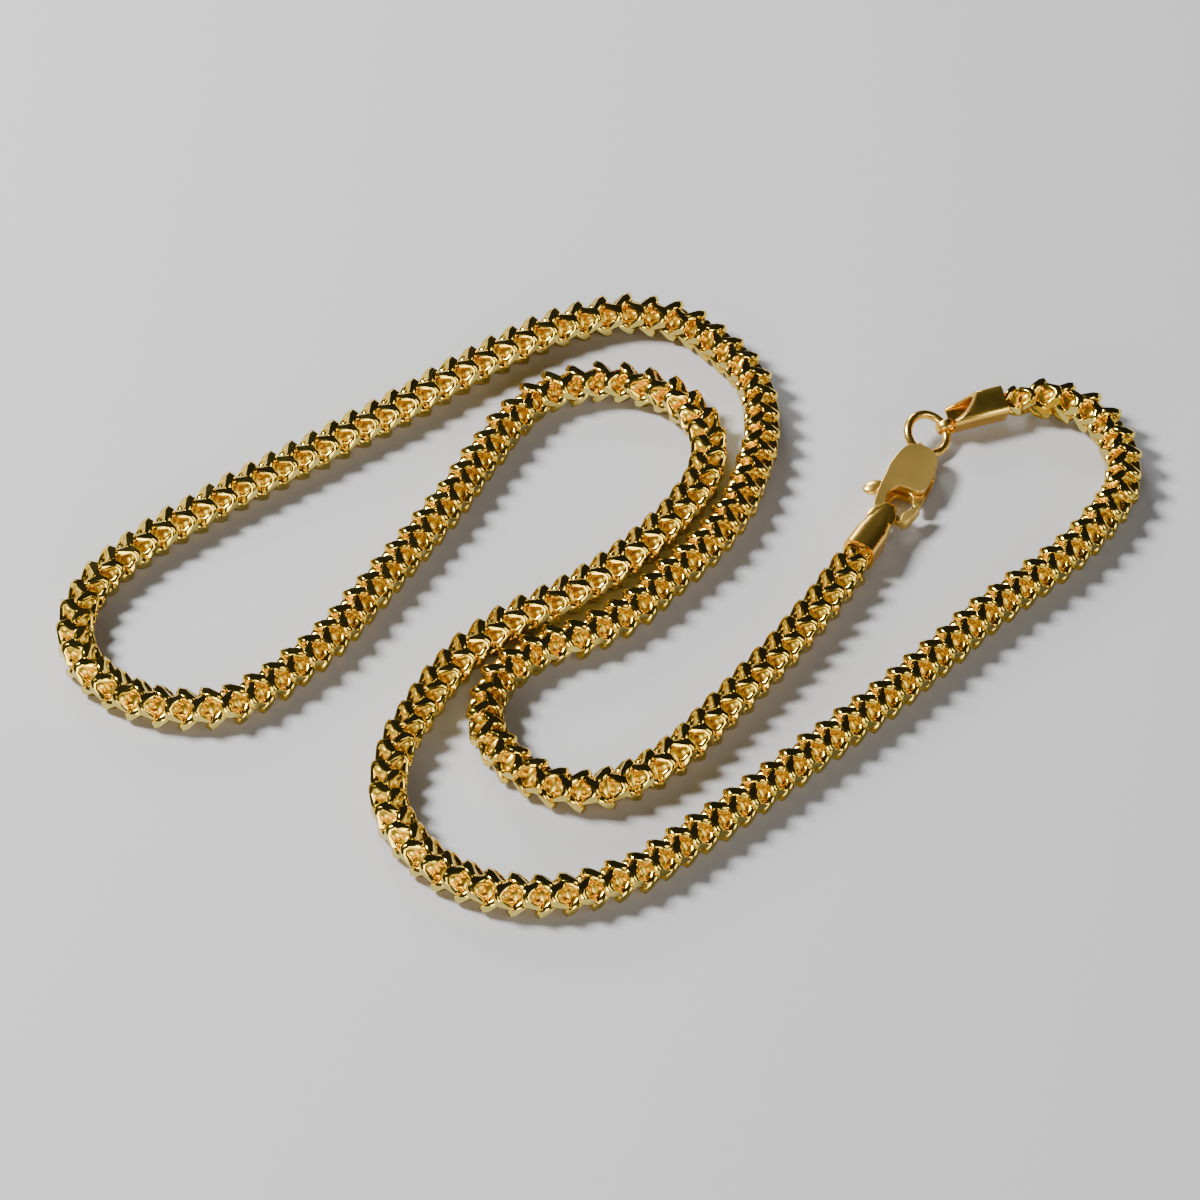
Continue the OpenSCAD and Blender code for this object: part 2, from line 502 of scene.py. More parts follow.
def wire_loop(path: list[Vector], radius: float, sides: int, across: float | None = None) -> Shape:
    """Sweep a round or oval wire round a closed path.

    Args:
        path: Points along the wire's middle.
        radius: Radius of the wire.
        sides: Faces round the wire.
        across: Radius of an oval wire across its own loop, or None for a round one.

    Returns:
        The wire.
    """
    middle = sum(path, Vector()) / len(path)
    side_radius = radius if across is None else across
    rings = []
    for before, p, after in zip(path[-1:] + path[:-1], path, path[1:] + path[:1]):
        along = (after - before).normalized()
        out = p - middle
        out = (out - along * out.dot(along)).normalized()
        side = along.cross(out)
        rings.append([
            p + radius * math.cos(a) * out + side_radius * math.sin(a) * side for a in circle(sides)
        ])
    return skin(rings, closed=True)


@dataclass
class FrancoChain:
    """The chain: V-bent wire links along the route, cut flat on the four faces.

    Attributes:
        width: Width of the CAD's chain across its flat faces.
        flat: Flat left on each of its faces between the corners.
        cut_width: Width of the links across their flat cuts.
        step: Distance from one link to the next.
        wire: Radius of the links' wire.
        wire_across: Radius of the wire across its own loop.
        wire_sides: Faces round the wire.
        half_loop: Points of half a link's wire in the chain's section, from waist to waist, in mm:
            distance across the diagonal and along it.
        bend: How far a link's ends trail its middle, for each unit along the diagonal.
        apex_round: Rounding of the V at its middle.
        core: Half sizes of the metal inside a link: along its diagonal, across it and along the chain.
        core_trail: How far the core's middle trails the link's.
        core_sides: Faces of the core, round it and from end to end.
        play: Most that a link leans out of line, in degrees.
        end_links: Links that narrow toward each end, to pass into the caps.
        end_size: Size of the last link, as a share of the others'.
        start: Middle of the chain in the hook-side cap's mouth, with its roll.
        finish: Middle of the chain in the ring-side cap's mouth, with its roll.
        guide_pieces: Points for each stretch of the route.
        seed: Seed of the links' play.
    """

    width: float = 0.0040
    flat: float = 0.00236
    cut_width: float = 0.00370
    step: float = 0.001277
    wire: float = 0.00064
    wire_across: float = 0.00057
    wire_sides: int = 6
    half_loop: tuple[Pair, ...] = (
        (-0.42, 0.0), (-0.95, 1.00), (-0.55, 1.58), (0.0, 1.68), (0.55, 1.58), (0.95, 1.00),
    )
    bend: float = 1.54
    apex_round: float = 0.00050
    core: Triple = (0.00205, 0.00120, 0.00110)
    core_trail: float = 0.00155
    core_sides: tuple[int, int] = (5, 3)
    play: float = 2.0
    end_links: float = 3.0
    end_size: float = 0.62
    start: Triple = (0.0261, 0.0047, 0)
    finish: Triple = (0.0420, 0.0260, 20)
    guide_pieces: int = 8
    seed: int = 7

    def link_path(self) -> list[Vector]:
        """Find the middle of one link's wire.

        Returns:
            Points round the link, with the chain running along +Z.
        """
        loop = [Vector(p) * MM for p in self.half_loop]
        loop += [-p for p in loop]
        path = []
        for across, reach in loop:
            trail = self.bend * (math.hypot(reach, self.apex_round) - self.apex_round)
            point = Vector((reach + across, reach - across, -trail * math.sqrt(2)))
            path.append(point / math.sqrt(2))
        return path

    def cut_flat(self, shape: Shape) -> None:
        """Cut a link flat on the chain's four faces, and mark the cuts.

        Args:
            shape: The link's wire.
        """
        mark = shape.faces.layers.float["bright_cut"]
        for side in (Vector((1, 0, 0)), Vector((-1, 0, 0)), Vector((0, 1, 0)), Vector((0, -1, 0))):
            made = bmesh.ops.bisect_plane(
                shape, geom=shape.verts[:] + shape.edges[:] + shape.faces[:],
                plane_co=side * self.cut_width / 2, plane_no=side, clear_outer=True,
            )
            rim = [edge for edge in made["geom_cut"] if isinstance(edge, bmesh.types.BMEdge)]
            for face in bmesh.ops.holes_fill(shape, edges=rim, sides=0)["faces"]:
                face.smooth = False
                face[mark] = 1.0
                for edge in face.edges:
                    edge.smooth = False

    def add_core(self, shape: Shape) -> None:
        """Add the metal that fills a link's inside, and mark it.

        Args:
            shape: The link's wire.
        """
        mark = shape.faces.layers.float["inner_wire"]
        place = Matrix.Translation((0, 0, -self.core_trail)) @ Matrix.Rotation(math.pi / 4, 4, "Z")
        place = place @ Matrix.Diagonal((*self.core, 1.0)) @ Matrix.Rotation(math.pi / 2, 4, "Y")
        round_it, end_to_end = self.core_sides
        core = bmesh.ops.create_uvsphere(
            shape, u_segments=round_it, v_segments=end_to_end, radius=1.0, matrix=place
        )
        for face in {face for vert in core["verts"] for face in vert.link_faces}:
            face.smooth = True
            face[mark] = 1.0

    def make_link(self) -> bpy.types.Object:
        """Build one link.

        Returns:
            The link, with attributes that mark its flat cuts and its inside.
        """
        shape = wire_loop(self.link_path(), self.wire, self.wire_sides, self.wire_across)
        for face in shape.faces:
            face.smooth = True
        for name in ("bright_cut", "inner_wire"):
            shape.faces.layers.float.new(name)
        self.cut_flat(shape)
        self.add_core(shape)
        bmesh.ops.recalc_face_normals(shape, faces=shape.faces)
        LOG.info("link: %d faces", len(shape.faces))
        return new_object("link", shape, None)

    def lift(self, roll: float) -> float:
        """Find how high the chain's middle lies over the surface.

        Args:
            roll: Roll of the chain, in degrees.

        Returns:
            The height, in metres.
        """
        a = math.radians(roll)
        half, corner = self.width / 2, self.flat / 2
        corners = [(half, corner), (corner, half), (-corner, half), (-half, corner)]
        return max(abs(x * math.sin(a) + y * math.cos(a)) for x, y in corners)

    def guide_points(self) -> list[tuple[Vector, float]]:
        """Run a smooth line through the route.

        Returns:
            Points along the chain's middle, each with its roll in degrees.
        """
        knots = [self.start, *ROUTE, self.finish]
        flat = [Vector(knot[:2]) for knot in knots]
        flat = [2 * flat[0] - flat[1], *flat, 2 * flat[-1] - flat[-2]]
        line = []
        for i in range(1, len(flat) - 2):
            a, b, c, d = flat[i - 1 : i + 3]
            ab, bc, cd = (b - a).length, (c - b).length, (d - c).length
            leave = ((b - a) / ab * bc + (c - b) / bc * ab) / (ab + bc) * bc
            arrive = ((c - b) / bc * cd + (d - c) / cd * bc) / (bc + cd) * bc
            roll_b, roll_c = knots[i - 1][2], knots[i][2]
            for k in range(self.guide_pieces):
                t = k / self.guide_pieces
                p = (
                    (2 * t**3 - 3 * t**2 + 1) * b + (t**3 - 2 * t**2 + t) * leave
                    + (3 * t**2 - 2 * t**3) * c + (t**3 - t**2) * arrive
                )
                roll = roll_b + (roll_c - roll_b) * t
                line.append((Vector((p.x, p.y, self.lift(roll))), roll))
        x, y, roll = self.finish
        line.append((Vector((x, y, self.lift(roll))), roll))
        return line

    def make_guide(self) -> bpy.types.Object:
        """Build the curve that the links follow.

        Returns:
            A curve object with the roll as its tilt.
        """
        line = self.guide_points()
        curve = bpy.data.curves.new("chain", "CURVE")
        curve.dimensions = "3D"
        curve.twist_mode = "Z_UP"
        spline = curve.splines.new("POLY")
        spline.points.add(len(line) - 1)
        for point, (place, roll) in zip(spline.points, line):
            point.co = (*place, 1.0)
            point.tilt = math.radians(roll)
        obj = bpy.data.objects.new("chain_guide", curve)
        bpy.context.collection.objects.link(obj)
        return obj

    def link_turns(self, tree: Tree, given: bpy.types.NodeOutputs, index: Socket, along: Socket) -> Socket:
        """Turn every other link a quarter round, and lean each a little out of line.

        Args:
            tree: The tree that threads the links.
            given: The tree's inputs.
            index: Number of each link.
            along: Where the chain's direction at each link comes from.

        Returns:
            Where the links' turns come from.
        """
        odd = add_node(tree, "ShaderNodeMath", {0: index, 1: 2.0}, operation="MODULO")
        quarter = add_node(
            tree, "ShaderNodeMath", {0: odd.outputs[0], 1: math.pi / 2}, operation="MULTIPLY"
        )
        turn = add_node(
            tree, "FunctionNodeAxisAngleToRotation", {"Axis": (0, 0, 1), "Angle": quarter.outputs[0]}
        )
        less = add_node(tree, "ShaderNodeMath", {0: given["Link play"], 1: -1.0}, operation="MULTIPLY")
        play = add_node(tree, "FunctionNodeRandomValue", {
            "Min": less.outputs[0], "Max": given["Link play"], "Seed": given["Seed"],
        }, data_type="FLOAT_VECTOR")
        lean = add_node(tree, "FunctionNodeEulerToRotation", {"Euler": play.outputs["Value"]})
        turned = along
        for extra in (turn.outputs["Rotation"], lean.outputs["Rotation"]):
            turned = add_node(
                tree, "FunctionNodeRotateRotation", {"Rotation": turned, "Rotate By": extra},
                rotation_space="LOCAL",
            ).outputs["Rotation"]
        return turned

    def link_sizes(self, tree: Tree, given: bpy.types.NodeOutputs, index: Socket, places: Socket) -> Socket:
        """Narrow the links toward both ends of the chain.

        Args:
            tree: The tree that threads the links.
            given: The tree's inputs.
            index: Number of each link.
            places: Where the links' places come from.

        Returns:
            Where the links' sizes come from.
        """
        count = add_node(
            tree, "GeometryNodeAttributeDomainSize", {"Geometry": places}, component="POINTCLOUD"
        )
        to_finish = add_node(
            tree, "ShaderNodeMath", {0: count.outputs["Point Count"], 1: index}, operation="SUBTRACT"
        )
        to_end = add_node(
            tree, "ShaderNodeMath", {0: to_finish.outputs[0], 1: index}, operation="MINIMUM"
        )
        size = add_node(tree, "ShaderNodeMapRange", {
            "Value": to_end.outputs[0], "From Max": given["End links"], "To Min": given["End size"],
        })
        return size.outputs["Result"]

    def make_tree(self) -> Tree:
        """Build the node tree that threads links along a curve.

        Returns:
            The tree, with named inputs for the link, its sizes, the seed and the gold.
        """
        tree = bpy.data.node_groups.new("thread_links", "GeometryNodeTree")
        for name, kind in (
            ("Geometry", "Geometry"), ("Link", "Object"), ("Link step", "Float"), ("Link play", "Float"),
            ("End links", "Float"), ("End size", "Float"), ("Seed", "Int"), ("Gold", "Material"),
        ):
            tree.interface.new_socket(name, in_out="INPUT", socket_type="NodeSocket" + kind)
        tree.interface.new_socket("Geometry", in_out="OUTPUT", socket_type="NodeSocketGeometry")
        given = add_node(tree, "NodeGroupInput", {}).outputs
        index = add_node(tree, "GeometryNodeInputIndex", {}).outputs["Index"]
        spaced = add_node(
            tree, "GeometryNodeResampleCurve",
            {"Curve": given["Geometry"], "Length": given["Link step"]}, mode="LENGTH",
        )
        points = add_node(
            tree, "GeometryNodeCurveToPoints", {"Curve": spaced.outputs["Curve"]}, mode="EVALUATED"
        ).outputs
        link = add_node(tree, "GeometryNodeObjectInfo", {"Object": given["Link"]})
        placed = add_node(tree, "GeometryNodeInstanceOnPoints", {
            "Points": points["Points"], "Instance": link.outputs["Geometry"],
            "Rotation": self.link_turns(tree, given, index, points["Rotation"]),
            "Scale": self.link_sizes(tree, given, index, points["Points"]),
        })
        real = add_node(tree, "GeometryNodeRealizeInstances", {"Geometry": placed.outputs["Instances"]})
        dressed = add_node(
            tree, "GeometryNodeSetMaterial", {"Geometry": real.outputs["Geometry"], "Material": given["Gold"]}
        )
        add_node(tree, "NodeGroupOutput", {"Geometry": dressed.outputs["Geometry"]})
        return tree

    def build(self) -> bpy.types.Object:
        """Thread the links along the route and hand the chain over.

        Returns:
            The finished chain.
        """
        link = self.make_link()
        guide = self.make_guide()
        tree = self.make_tree()
        thread = guide.modifiers.new("thread_links", "NODES")
        thread.node_group = tree
        values = {
            "Link": link, "Link step": self.step, "Link play": math.radians(self.play),
            "End links": self.end_links, "End size": self.end_size, "Seed": self.seed,
            "Gold": LINK_GOLD.make(),
        }
        for item in tree.interface.items_tree:
            if item.in_out == "INPUT" and item.name in values:
                thread[item.identifier] = values[item.name]
        chain = bpy.data.objects.new("franco_links", evaluated_mesh(guide))
        bpy.context.collection.objects.link(chain)
        guide.modifiers.clear()
        bpy.data.objects.remove(guide)
        bpy.data.objects.remove(link)
        return finish_piece(chain, "necklace", "chain")


@dataclass
class EndCap:
    """A square end cap with a slanted cut and a curled eye. All sizes are in mm.

    Attributes:
        end: Which end of the chain it is on.
        mouth: Middle of its mouth.
        turn: Roll, pitch and heading in degrees.
        eye_side: Distance of the eye from the cap's middle.
        flipped: Whether the cut faces down, with the other hand.
        width: Outer width of the sleeve.
        wall: Thickness of its wall.
        length: Length of the sleeve.
        squareness: How square the sleeve is: 2 would be round.
        narrowing: Taken off each side of the sleeve at its tip.
        section_points: Points round the sleeve.
        scoop_radius: Radius of the slanted cut.
        scoop_at: Middle of the cut, along the sleeve and out from its middle.
        scoop_points: Points round the cutter.
        rim: Rounding of the sleeve's edges.
        rim_angle: Edges sharper than this many degrees are rounded.
        eye_x: Distance of the eye's middle from the mouth.
        eye_radius: Outer radius of the eye.
        eye_hole: Radius of its hole.
        eye_width: Width of the eye.
        tongue_width: Width of the tongue where it leaves the sleeve.
        tongue_points: Where the tongue starts, narrows and starts to curl, from the sleeve's end.
        tongue_lifts: How far the tongue's start and neck lie over its flat part.
        strip_points: Points round the tongue.
        strip_squareness: How full the tongue's edges are: 1 would be an ellipse.
        curl: First and last angle of the eye's curl, in degrees.
        curl_steps: Pieces of the curl.
    """

    end: CapEnd
    mouth: Triple
    turn: Triple
    eye_side: float = 0.0
    flipped: bool = False
    width: float = 3.2
    wall: float = 0.4
    length: float = 5.9
    squareness: float = 6.0
    narrowing: float = 0.0
    section_points: int = 40
    scoop_radius: float = 6.0
    scoop_at: Pair = (7.25, 5.95)
    scoop_points: int = 96
    rim: float = 0.07
    rim_angle: float = 38
    eye_x: float = 6.65
    eye_radius: float = 1.1
    eye_hole: float = 0.74
    eye_width: float = 1.5
    tongue_width: float = 2.9
    tongue_points: Triple = (-1.5, -0.3, 0.2)
    tongue_lifts: Pair = (0.07, 0.02)
    strip_points: int = 16
    strip_squareness: float = 0.6
    curl: Pair = (-90, 174)
    curl_steps: int = 12

    def placing(self) -> Matrix:
        """Find where the cap goes.

        Returns:
            The way from its own frame in mm to the row frame in metres.
        """
        roll, pitch, heading = (math.radians(a) for a in self.turn)
        place = Matrix.Translation(Vector(self.mouth) * MM)
        place = place @ Matrix.Rotation(heading, 4, "Z") @ Matrix.Rotation(pitch, 4, "Y")
        place = place @ Matrix.Rotation(roll + (math.pi if self.flipped else 0.0), 4, "X")
        if self.flipped:
            place = place @ Matrix.Diagonal((1, -1, 1, 1))
        return place @ Matrix.Scale(MM, 4)

    def section(self, x: float, half: float, narrow: float) -> list[Vector]:
        """Find points round a square with full, slightly bulging sides.

        Args:
            x: Distance along the cap.
            half: Half height of the square.
            narrow: Taken off its half width.

        Returns:
            The points in order.
        """
        points = []
        power = self.squareness
        for a in circle(self.section_points):
            reach = (abs(math.cos(a)) ** power + abs(math.sin(a)) ** power) ** (-1 / power)
            points.append(Vector((x, (half - narrow) * reach * math.cos(a), half * reach * math.sin(a))))
        return points

    def sleeve(self) -> Shape:
        """Build the square sleeve, open at both ends.

        Returns:
            The sleeve in the cap's own frame.
        """
        half = self.width / 2
        hole = half - self.wall
        shoulder = self.length / 2
        stations = (
            (0.0, half, 0.0), (shoulder, half, 0.0), (self.length, half, self.narrowing),
            (self.length, hole, self.narrowing), (shoulder, hole, 0.0), (0.0, hole, 0.0),
        )
        return skin([self.section(x, size, narrow) for x, size, narrow in stations], closed=True)

    def scoop(self) -> Shape:
        """Build the round cutter of the slanted end.

        Returns:
            The cutter in the cap's own frame.
        """
        shape = bmesh.new()
        # Three widths long, which reaches past both sides of the sleeve
        bmesh.ops.create_cone(
            shape, cap_ends=True, segments=self.scoop_points, radius1=self.scoop_radius,
            radius2=self.scoop_radius, depth=3 * self.width,
        )
        along, out = self.scoop_at
        place = Matrix.Translation((along, 0, 0)) @ Matrix.Rotation(math.pi / 4, 4, "X")
        place = place @ Matrix.Translation((0, 0, out)) @ Matrix.Rotation(math.pi / 2, 4, "X")
        shape.transform(place)
        return shape

    def tongue_path(self) -> list[Triple]:
        """Run the tongue out of the sleeve and round the eye.

        Returns:
            Along, height and width at points down its middle.
        """
        low = -self.width / 2
        thick = self.eye_radius - self.eye_hole
        start, neck, bend = (self.length + x for x in self.tongue_points)
        start_lift, neck_lift = self.tongue_lifts
        flat = low + thick / 2
        path = [
            (start, flat + start_lift, self.tongue_width), (neck, flat + neck_lift, self.tongue_width),
            (bend, flat, (2 * self.tongue_width + self.eye_width) / 3),
        ]
        middle = self.eye_radius - thick / 2
        first, last = self.curl
        for k in range(self.curl_steps + 1):
            a = math.radians(first + (last - first) * k / self.curl_steps)
            height = low + self.eye_radius + middle * math.sin(a)
            path.append((self.eye_x + middle * math.cos(a), height, self.eye_width))
        return path

    def eye(self) -> Shape:
        """Build the tongue that curls into the eye.

        Returns:
            The tongue in the cap's own frame.
        """
        path = self.tongue_path()
        half_thick = (self.eye_radius - self.eye_hole) / 2
        rings = []
        for before, (x, z, width), after in zip(path[:1] + path[:-1], path, path[1:] + path[-1:]):
            along = Vector((after[0] - before[0], 0, after[1] - before[1])).normalized()
            out = Vector((along.z, 0, -along.x)) * half_thick
            ring = []
            for a in circle(self.strip_points):
                fullness = math.copysign(abs(math.cos(a)) ** self.strip_squareness, math.cos(a))
                ring.append(Vector((x, self.eye_side + fullness * width / 2, z)) + math.sin(a) * out)
            rings.append(ring)
        return skin(rings, closed=False)

    def build(self, gold: bpy.types.Material) -> bpy.types.Object:
        """Make the cap and hand it over.

        Args:
            gold: Its finish.

        Returns:
            The finished cap.
        """
        cap = new_object(self.end.value + "_shell", self.sleeve(), gold)
        cut_away(cap, self.scoop())
        add_shape(cap, self.eye())
        place_piece(cap, self.placing())
        soften_edges(cap, self.rim * MM, segments=2, angle=self.rim_angle)
        return finish_piece(cap, "necklace", self.end.value)


@dataclass
class JumpRing:
    """The round wire ring between cap and clasp. All sizes are in mm.

    Attributes:
        middle: Middle of the ring.
        lean: Tilt of its plane and heading of the tilt, in degrees.
        radius: Radius at the middle of the wire.
        wire: Radius of the wire.
        pieces: Points round the ring.
        wire_sides: Faces round the wire.
    """

    middle: Triple = (33.9, 21.95, 1.85)
    lean: Pair = (28.7, -42.0)
    radius: float = 2.22
    wire: float = 0.47
    pieces: int = 64
    wire_sides: int = 16

    def build(self, gold: bpy.types.Material) -> bpy.types.Object:
        """Make the ring and hand it over.

        Args:
            gold: Its finish.

        Returns:
            The finished ring.
        """
        path = [Vector((math.cos(a), math.sin(a), 0)) * self.radius for a in circle(self.pieces)]
        tilt, heading = (math.radians(a) for a in self.lean)
        place = Matrix.Translation(Vector(self.middle) * MM)
        place = place @ Matrix.Rotation(heading, 4, "Z") @ Matrix.Rotation(tilt, 4, "Y")
        ring = new_object("jump_ring_wire", wire_loop(path, self.wire, self.wire_sides), gold)
        place_piece(ring, place @ Matrix.Scale(MM, 4))
        ring.data.shade_smooth()
        return finish_piece(ring, "necklace", "jump_ring")


@dataclass
class LobsterClasp:
    """The clasp: body with its fixed hook and end lug, and the sprung lever. All sizes are in mm.

    Attributes:
        middle: Middle of the body, at its underside.
        heading: Turn of its long axis from +Y, in degrees.
        thick: Thickness of the body.
        slot: Height of the lever's slot.
        slot_half: Half length of the slot.
        plate: Thickness of the top plate over the lug.
        plate_from: Where the body is cut back to the plate, along the clasp.
        neck: Left and right side of the hook's thin neck, which holds the cap's eye.
        neck_from: Where the neck starts, along the clasp.
        neck_heights: Underside and top of the neck.
        tip_from: Where the hook's tip ends, along the clasp.
        tip_low: Underside of the hook's tip.
        beyond: A distance past every side of the body.
        lug_at: Middle of the end lug.
        lug_radii: Radius of the lug along the clasp and upward.
        lug_drop: How far its middle lies below the body's.
        lug_wire: Radius of the lug's wire.
        lug_sides: Points round the lug, and faces round its wire.
        body_edge: Rounding of the body's edges.
        lever: Thickness of the lever inside the body.
        lever_edge: Rounding of the lever's edges.
        tab_at: Middle of the thumb tab.
        tab_turn: Turn of the tab, in degrees.
        tab_half: Half sizes of the tab.
        tab_sides: Faces of the tab, round it and from end to end.
        edge_angle: Edges sharper than this many degrees are rounded.
        outline: Corners of the body and hook, long axis along +Y.
        lever_outline: Corners of the lever.
        outline_steps: Pieces that each side of an outline becomes.
    """

    middle: Triple = (31.35, 14.65, 0.3)
    heading: float = -14.93
    thick: float = 2.3
    slot: float = 1.0
    slot_half: float = 2.2
    plate: float = 0.45
    plate_from: float = 4.2
    neck: Pair = (-1.85, 0.7)
    neck_from: float = -3.6
    neck_heights: Pair = (1.3, 2.05)
    tip_from: float = -2.6
    tip_low: float = 0.9
    beyond: float = 7.0
    lug_at: Pair = (0.2, 5.3)
    lug_radii: Pair = (1.13, 1.0)
    lug_drop: float = 0.25
    lug_wire: float = 0.24
    lug_sides: tuple[int, int] = (32, 10)
    body_edge: float = 0.20
    lever: float = 0.8
    lever_edge: float = 0.12
    tab_at: Pair = (-3.05, -0.65)
    tab_turn: float = 28
    tab_half: Triple = (1.35, 0.95, 0.55)
    tab_sides: tuple[int, int] = (24, 12)
    edge_angle: float = 50
    outline: list[Pair] = field(default_factory=lambda: [
        (-0.3, 5.42), (-0.95, 5.05), (-1.35, 4.5), (-1.62, 3.85), (-1.87, 3.05), (-2.13, 2.0),
        (-2.25, 0.67), (-2.4, -0.53), (-2.51, -1.86), (-2.55, -3.2), (-2.35, -4.05),
        (-1.8, -4.65), (-1.0, -4.95), (0.0, -5.35), (0.8, -5.45), (1.44, -5.05), (1.85, -4.13),
        (2.22, -3.1), (2.05, -2.8), (1.6, -3.3), (1.05, -3.95), (0.6, -4.5), (0.0, -4.65),
        (-0.8, -4.35), (-1.3, -3.9), (-1.45, -3.2), (-1.41, -1.99), (-1.14, -1.3),
        (-0.66, -0.72), (0.11, -0.73), (1.24, -1.0), (1.94, -0.81), (2.32, -0.14),
        (2.43, 0.76), (2.59, 1.96), (2.61, 3.1), (2.52, 3.9), (2.15, 4.6), (1.55, 5.12),
        (0.65, 5.45),
    ])
    lever_outline: list[Pair] = field(default_factory=lambda: [
        (-2.4, 0.45), (-2.5, -0.5), (-0.8, -0.35), (0.3, -0.6), (1.05, -1.3), (1.25, -2.2),
        (1.5, -2.55), (2.0, -2.55), (2.2, -1.9), (2.25, -1.0), (2.1, 0.4), (1.7, 1.2),
        (0.8, 1.3), (-0.5, 0.8),
    ])
    outline_steps: int = 3

    def placing(self) -> Matrix:
        """Find the way from the clasp's own frame in mm to the row frame in metres."""
        place = Matrix.Translation(Vector(self.middle) * MM)
        return place @ Matrix.Rotation(math.radians(self.heading), 4, "Z") @ Matrix.Scale(MM, 4)

    def cutters(self) -> list[Shape]:
        """Build what is cut out of the body.

        Returns:
            The lever's slot, the space under the plate, both sides of the hook's neck and the space
            under its tip.
        """
        far, slot_low = self.beyond, (self.thick - self.slot) / 2
        left, right = self.neck
        neck_low, neck_top = self.neck_heights
        return [
            block((-far, -self.slot_half, slot_low), (far, self.slot_half, slot_low + self.slot)),
            block((-far, self.plate_from, -far), (far, far, self.thick - self.plate)),
            block((left, -far, -far), (right, self.neck_from, neck_low)),
            block((left, -far, neck_top), (right, self.neck_from, far)),
            block((right, -far, -far), (far, self.tip_from, self.tip_low)),
        ]

    def lug(self) -> Shape:
        """Build the oval end lug.

        Returns:
            The lug in the clasp's own frame.
        """
        x, y = self.lug_at
        along, upward = self.lug_radii
        points, sides = self.lug_sides
        height = self.thick / 2 - self.lug_drop
        path = [
            Vector((x, y + along * math.cos(a), height + upward * math.sin(a))) for a in circle(points)
        ]
        return wire_loop(path, self.lug_wire, sides)

    def tab(self) -> Shape:
        """Build the thumb tab.

        Returns:
            The tab in the clasp's own frame.
        """
        shape = bmesh.new()
        round_it, end_to_end = self.tab_sides
        bmesh.ops.create_uvsphere(shape, u_segments=round_it, v_segments=end_to_end, radius=1.0)
        place = Matrix.Translation((*self.tab_at, self.thick / 2))
        place = place @ Matrix.Rotation(math.radians(self.tab_turn), 4, "Z")
        shape.transform(place @ Matrix.Diagonal((*self.tab_half, 1)))
        return shape

    def build_body(self, gold: bpy.types.Material) -> bpy.types.Object:
        """Make the body and hand it over.

        Args:
            gold: Its finish.

        Returns:
            The finished body.
        """
        outline = smooth_loop(self.outline, self.outline_steps)
        body = new_object("clasp_shell", prism(outline, 0, self.thick), gold)
        for cutter in self.cutters():
            cut_away(body, cutter)
        add_shape(body, self.lug())
        place_piece(body, self.placing())
        soften_edges(body, self.body_edge * MM, segments=3, angle=self.edge_angle)
        return finish_piece(body, "necklace", "clasp_body")

    def build_lever(self, gold: bpy.types.Material) -> bpy.types.Object:
        """Make the lever with its thumb tab and hand it over.

        Args:
            gold: Its finish.

        Returns:
            The finished lever.
        """
        low = (self.thick - self.lever) / 2
        outline = smooth_loop(self.lever_outline, self.outline_steps)
        lever = new_object("clasp_lever_arm", prism(outline, low, low + self.lever), gold)
        add_shape(lever, self.tab())
        place_piece(lever, self.placing())
        soften_edges(lever, self.lever_edge * MM, segments=3, angle=self.edge_angle)
        return finish_piece(lever, "lever", "clasp_lever")


@dataclass(frozen=True)
class SoftLight:
    """A square soft light that faces the chain.

    Attributes:
        name: Name of the light.
        place: Its place, in metres.
        size: Width of its panel, in metres.
        watts: Its power.
    """

    name: str
    place: Triple
    size: float
    watts: float

    def hang(self) -> None:
        """Add the light to the scene."""
        data = bpy.data.lights.new(self.name, "AREA")
        data.shape = "SQUARE"
        data.size = self.size
        data.energy = self.watts
        lamp = bpy.data.objects.new(self.name, data)
        lamp.location = self.place
        lamp.rotation_euler = (-Vector(self.place)).to_track_quat("-Z", "Y").to_euler()
        bpy.context.collection.objects.link(lamp)


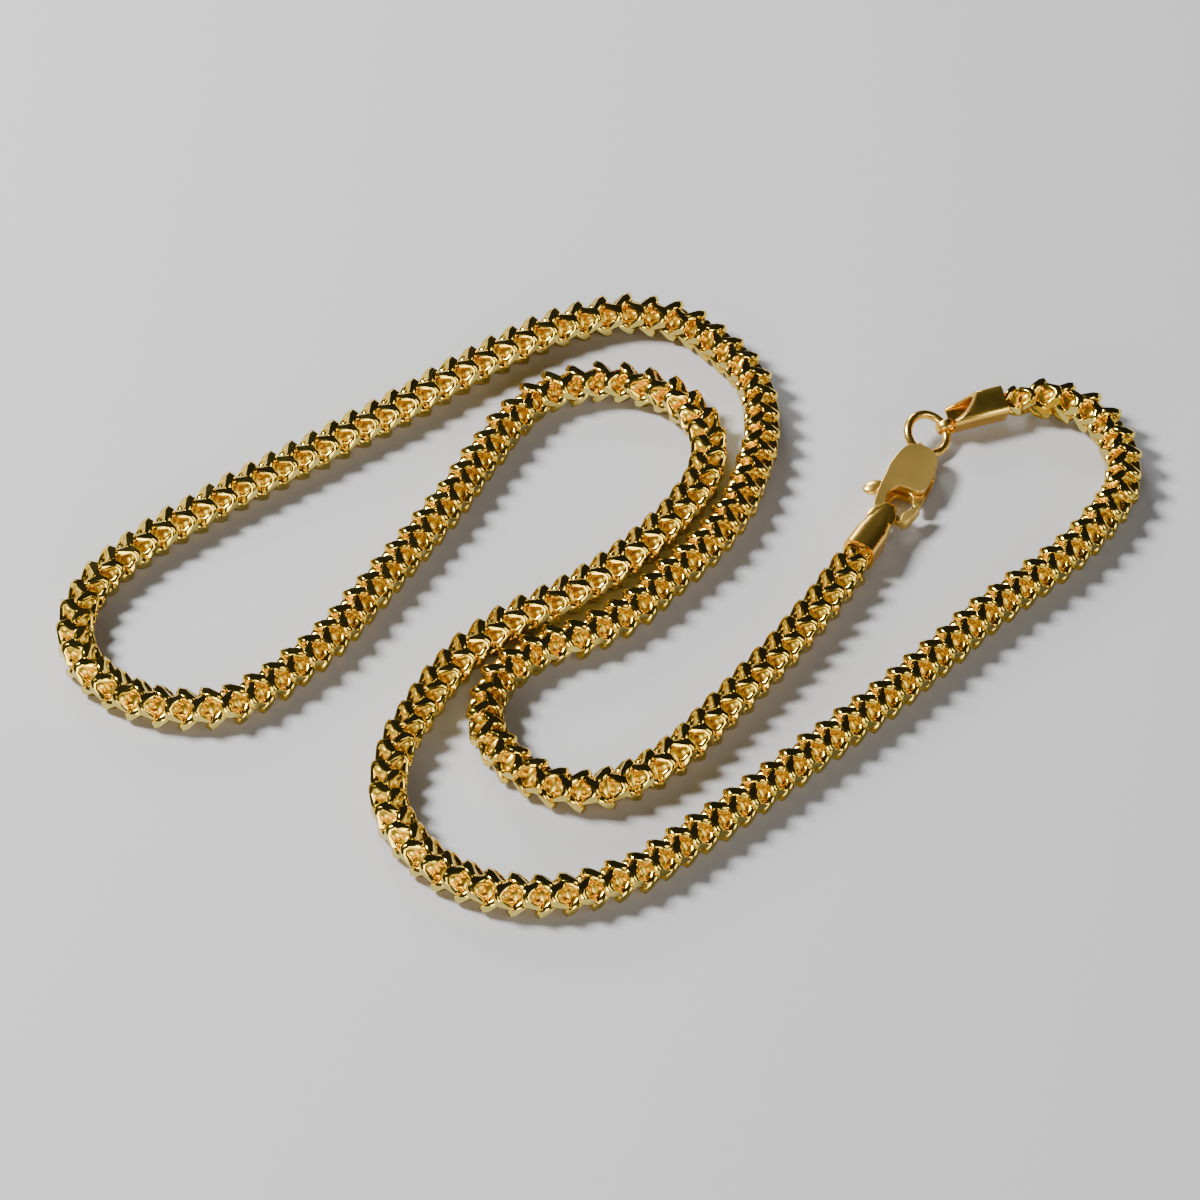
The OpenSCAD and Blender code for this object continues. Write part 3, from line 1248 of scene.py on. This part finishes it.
@dataclass
class Studio:
    """The plain pale floor, the soft lights and the camera.

    Attributes:
        floor_half: Half width of the floor, in metres.
        floor_finish: The floor's finish.
        room_colour: Dim light of the room round the lights.
        lights: The lights.
        camera_at: Place of the camera, in metres.
        camera_down: Angle that the camera looks down at, in degrees.
        lens: Focal length of the camera, in mm.
        sensor: Width of its sensor, in mm.
        nearest: Nearest distance that it shows, in metres.
    """

    floor_half: float = 3.0
    floor_finish: Matte = Matte("pale_floor", (0.42, 0.42, 0.43))
    room_colour: Triple = (0.02, 0.021, 0.022)
    lights: tuple[SoftLight, ...] = (
        SoftLight("key", (-0.42, 0.10, 0.46), size=0.15, watts=11.0),
        SoftLight("fill", (0.50, -0.35, 0.35), size=0.30, watts=1.2),
        SoftLight("low", (-0.10, -0.60, 0.18), size=0.34, watts=2.4),
        SoftLight("back", (-0.25, 0.80, 0.42), size=0.30, watts=6.0),
    )
    camera_at: Triple = (-0.0005, -0.4009, 0.4701)
    camera_down: float = 49.5
    lens: float = 180.0
    sensor: float = 36.0
    nearest: float = 0.01

    def build_floor(self) -> None:
        """Lay the floor."""
        h = self.floor_half
        shape = bmesh.new()
        shape.faces.new([shape.verts.new(p) for p in ((-h, -h, 0), (h, -h, 0), (h, h, 0), (-h, h, 0))])
        new_object("floor", shape, self.floor_finish.make())

    def build_lights(self) -> None:
        """Hang the lights and set the dim room round them."""
        for light in self.lights:
            light.hang()
        world = bpy.data.worlds.new("room")
        world.use_nodes = True
        world.node_tree.nodes["Background"].inputs["Color"].default_value = (*self.room_colour, 1)
        bpy.context.scene.world = world

    def build_camera(self) -> None:
        """Place the camera at the photograph's angle."""
        data = bpy.data.cameras.new("camera")
        data.sensor_width = self.sensor
        data.lens = self.lens
        data.clip_start = self.nearest
        camera = bpy.data.objects.new("camera", data)
        camera.location = self.camera_at
        camera.rotation_euler = (math.radians(90 - self.camera_down), 0, 0)
        bpy.context.collection.objects.link(camera)
        bpy.context.scene.camera = camera


def main() -> None:
    """Build the chain, its fittings and the studio."""
    logging.basicConfig(level=logging.INFO, format="%(name)s %(message)s")
    fitting_gold = FITTING_GOLD.make()
    face_gold = FACE_GOLD.make()
    FrancoChain().build()
    ring_cap = EndCap(
        CapEnd.RING, mouth=(42.0, 26.0, 2.3), turn=(-20.0, 0.0, 198.0), eye_side=0.9, eye_width=1.0,
        tongue_width=1.2,
    )
    hook_cap = EndCap(
        CapEnd.HOOK, mouth=(26.1, 4.7, 2.4), turn=(4.0, 7.0, 62.0), width=3.45, narrowing=0.5,
        squareness=3.8, flipped=True,
    )
    for piece in (ring_cap, hook_cap, JumpRing()):
        piece.build(fitting_gold)
    clasp = LobsterClasp()
    clasp.build_body(face_gold)
    clasp.build_lever(face_gold)
    studio = Studio()
    studio.build_floor()
    studio.build_lights()
    studio.build_camera()
    LOG.info("sizes written")


if __name__ == "__main__":
    main()
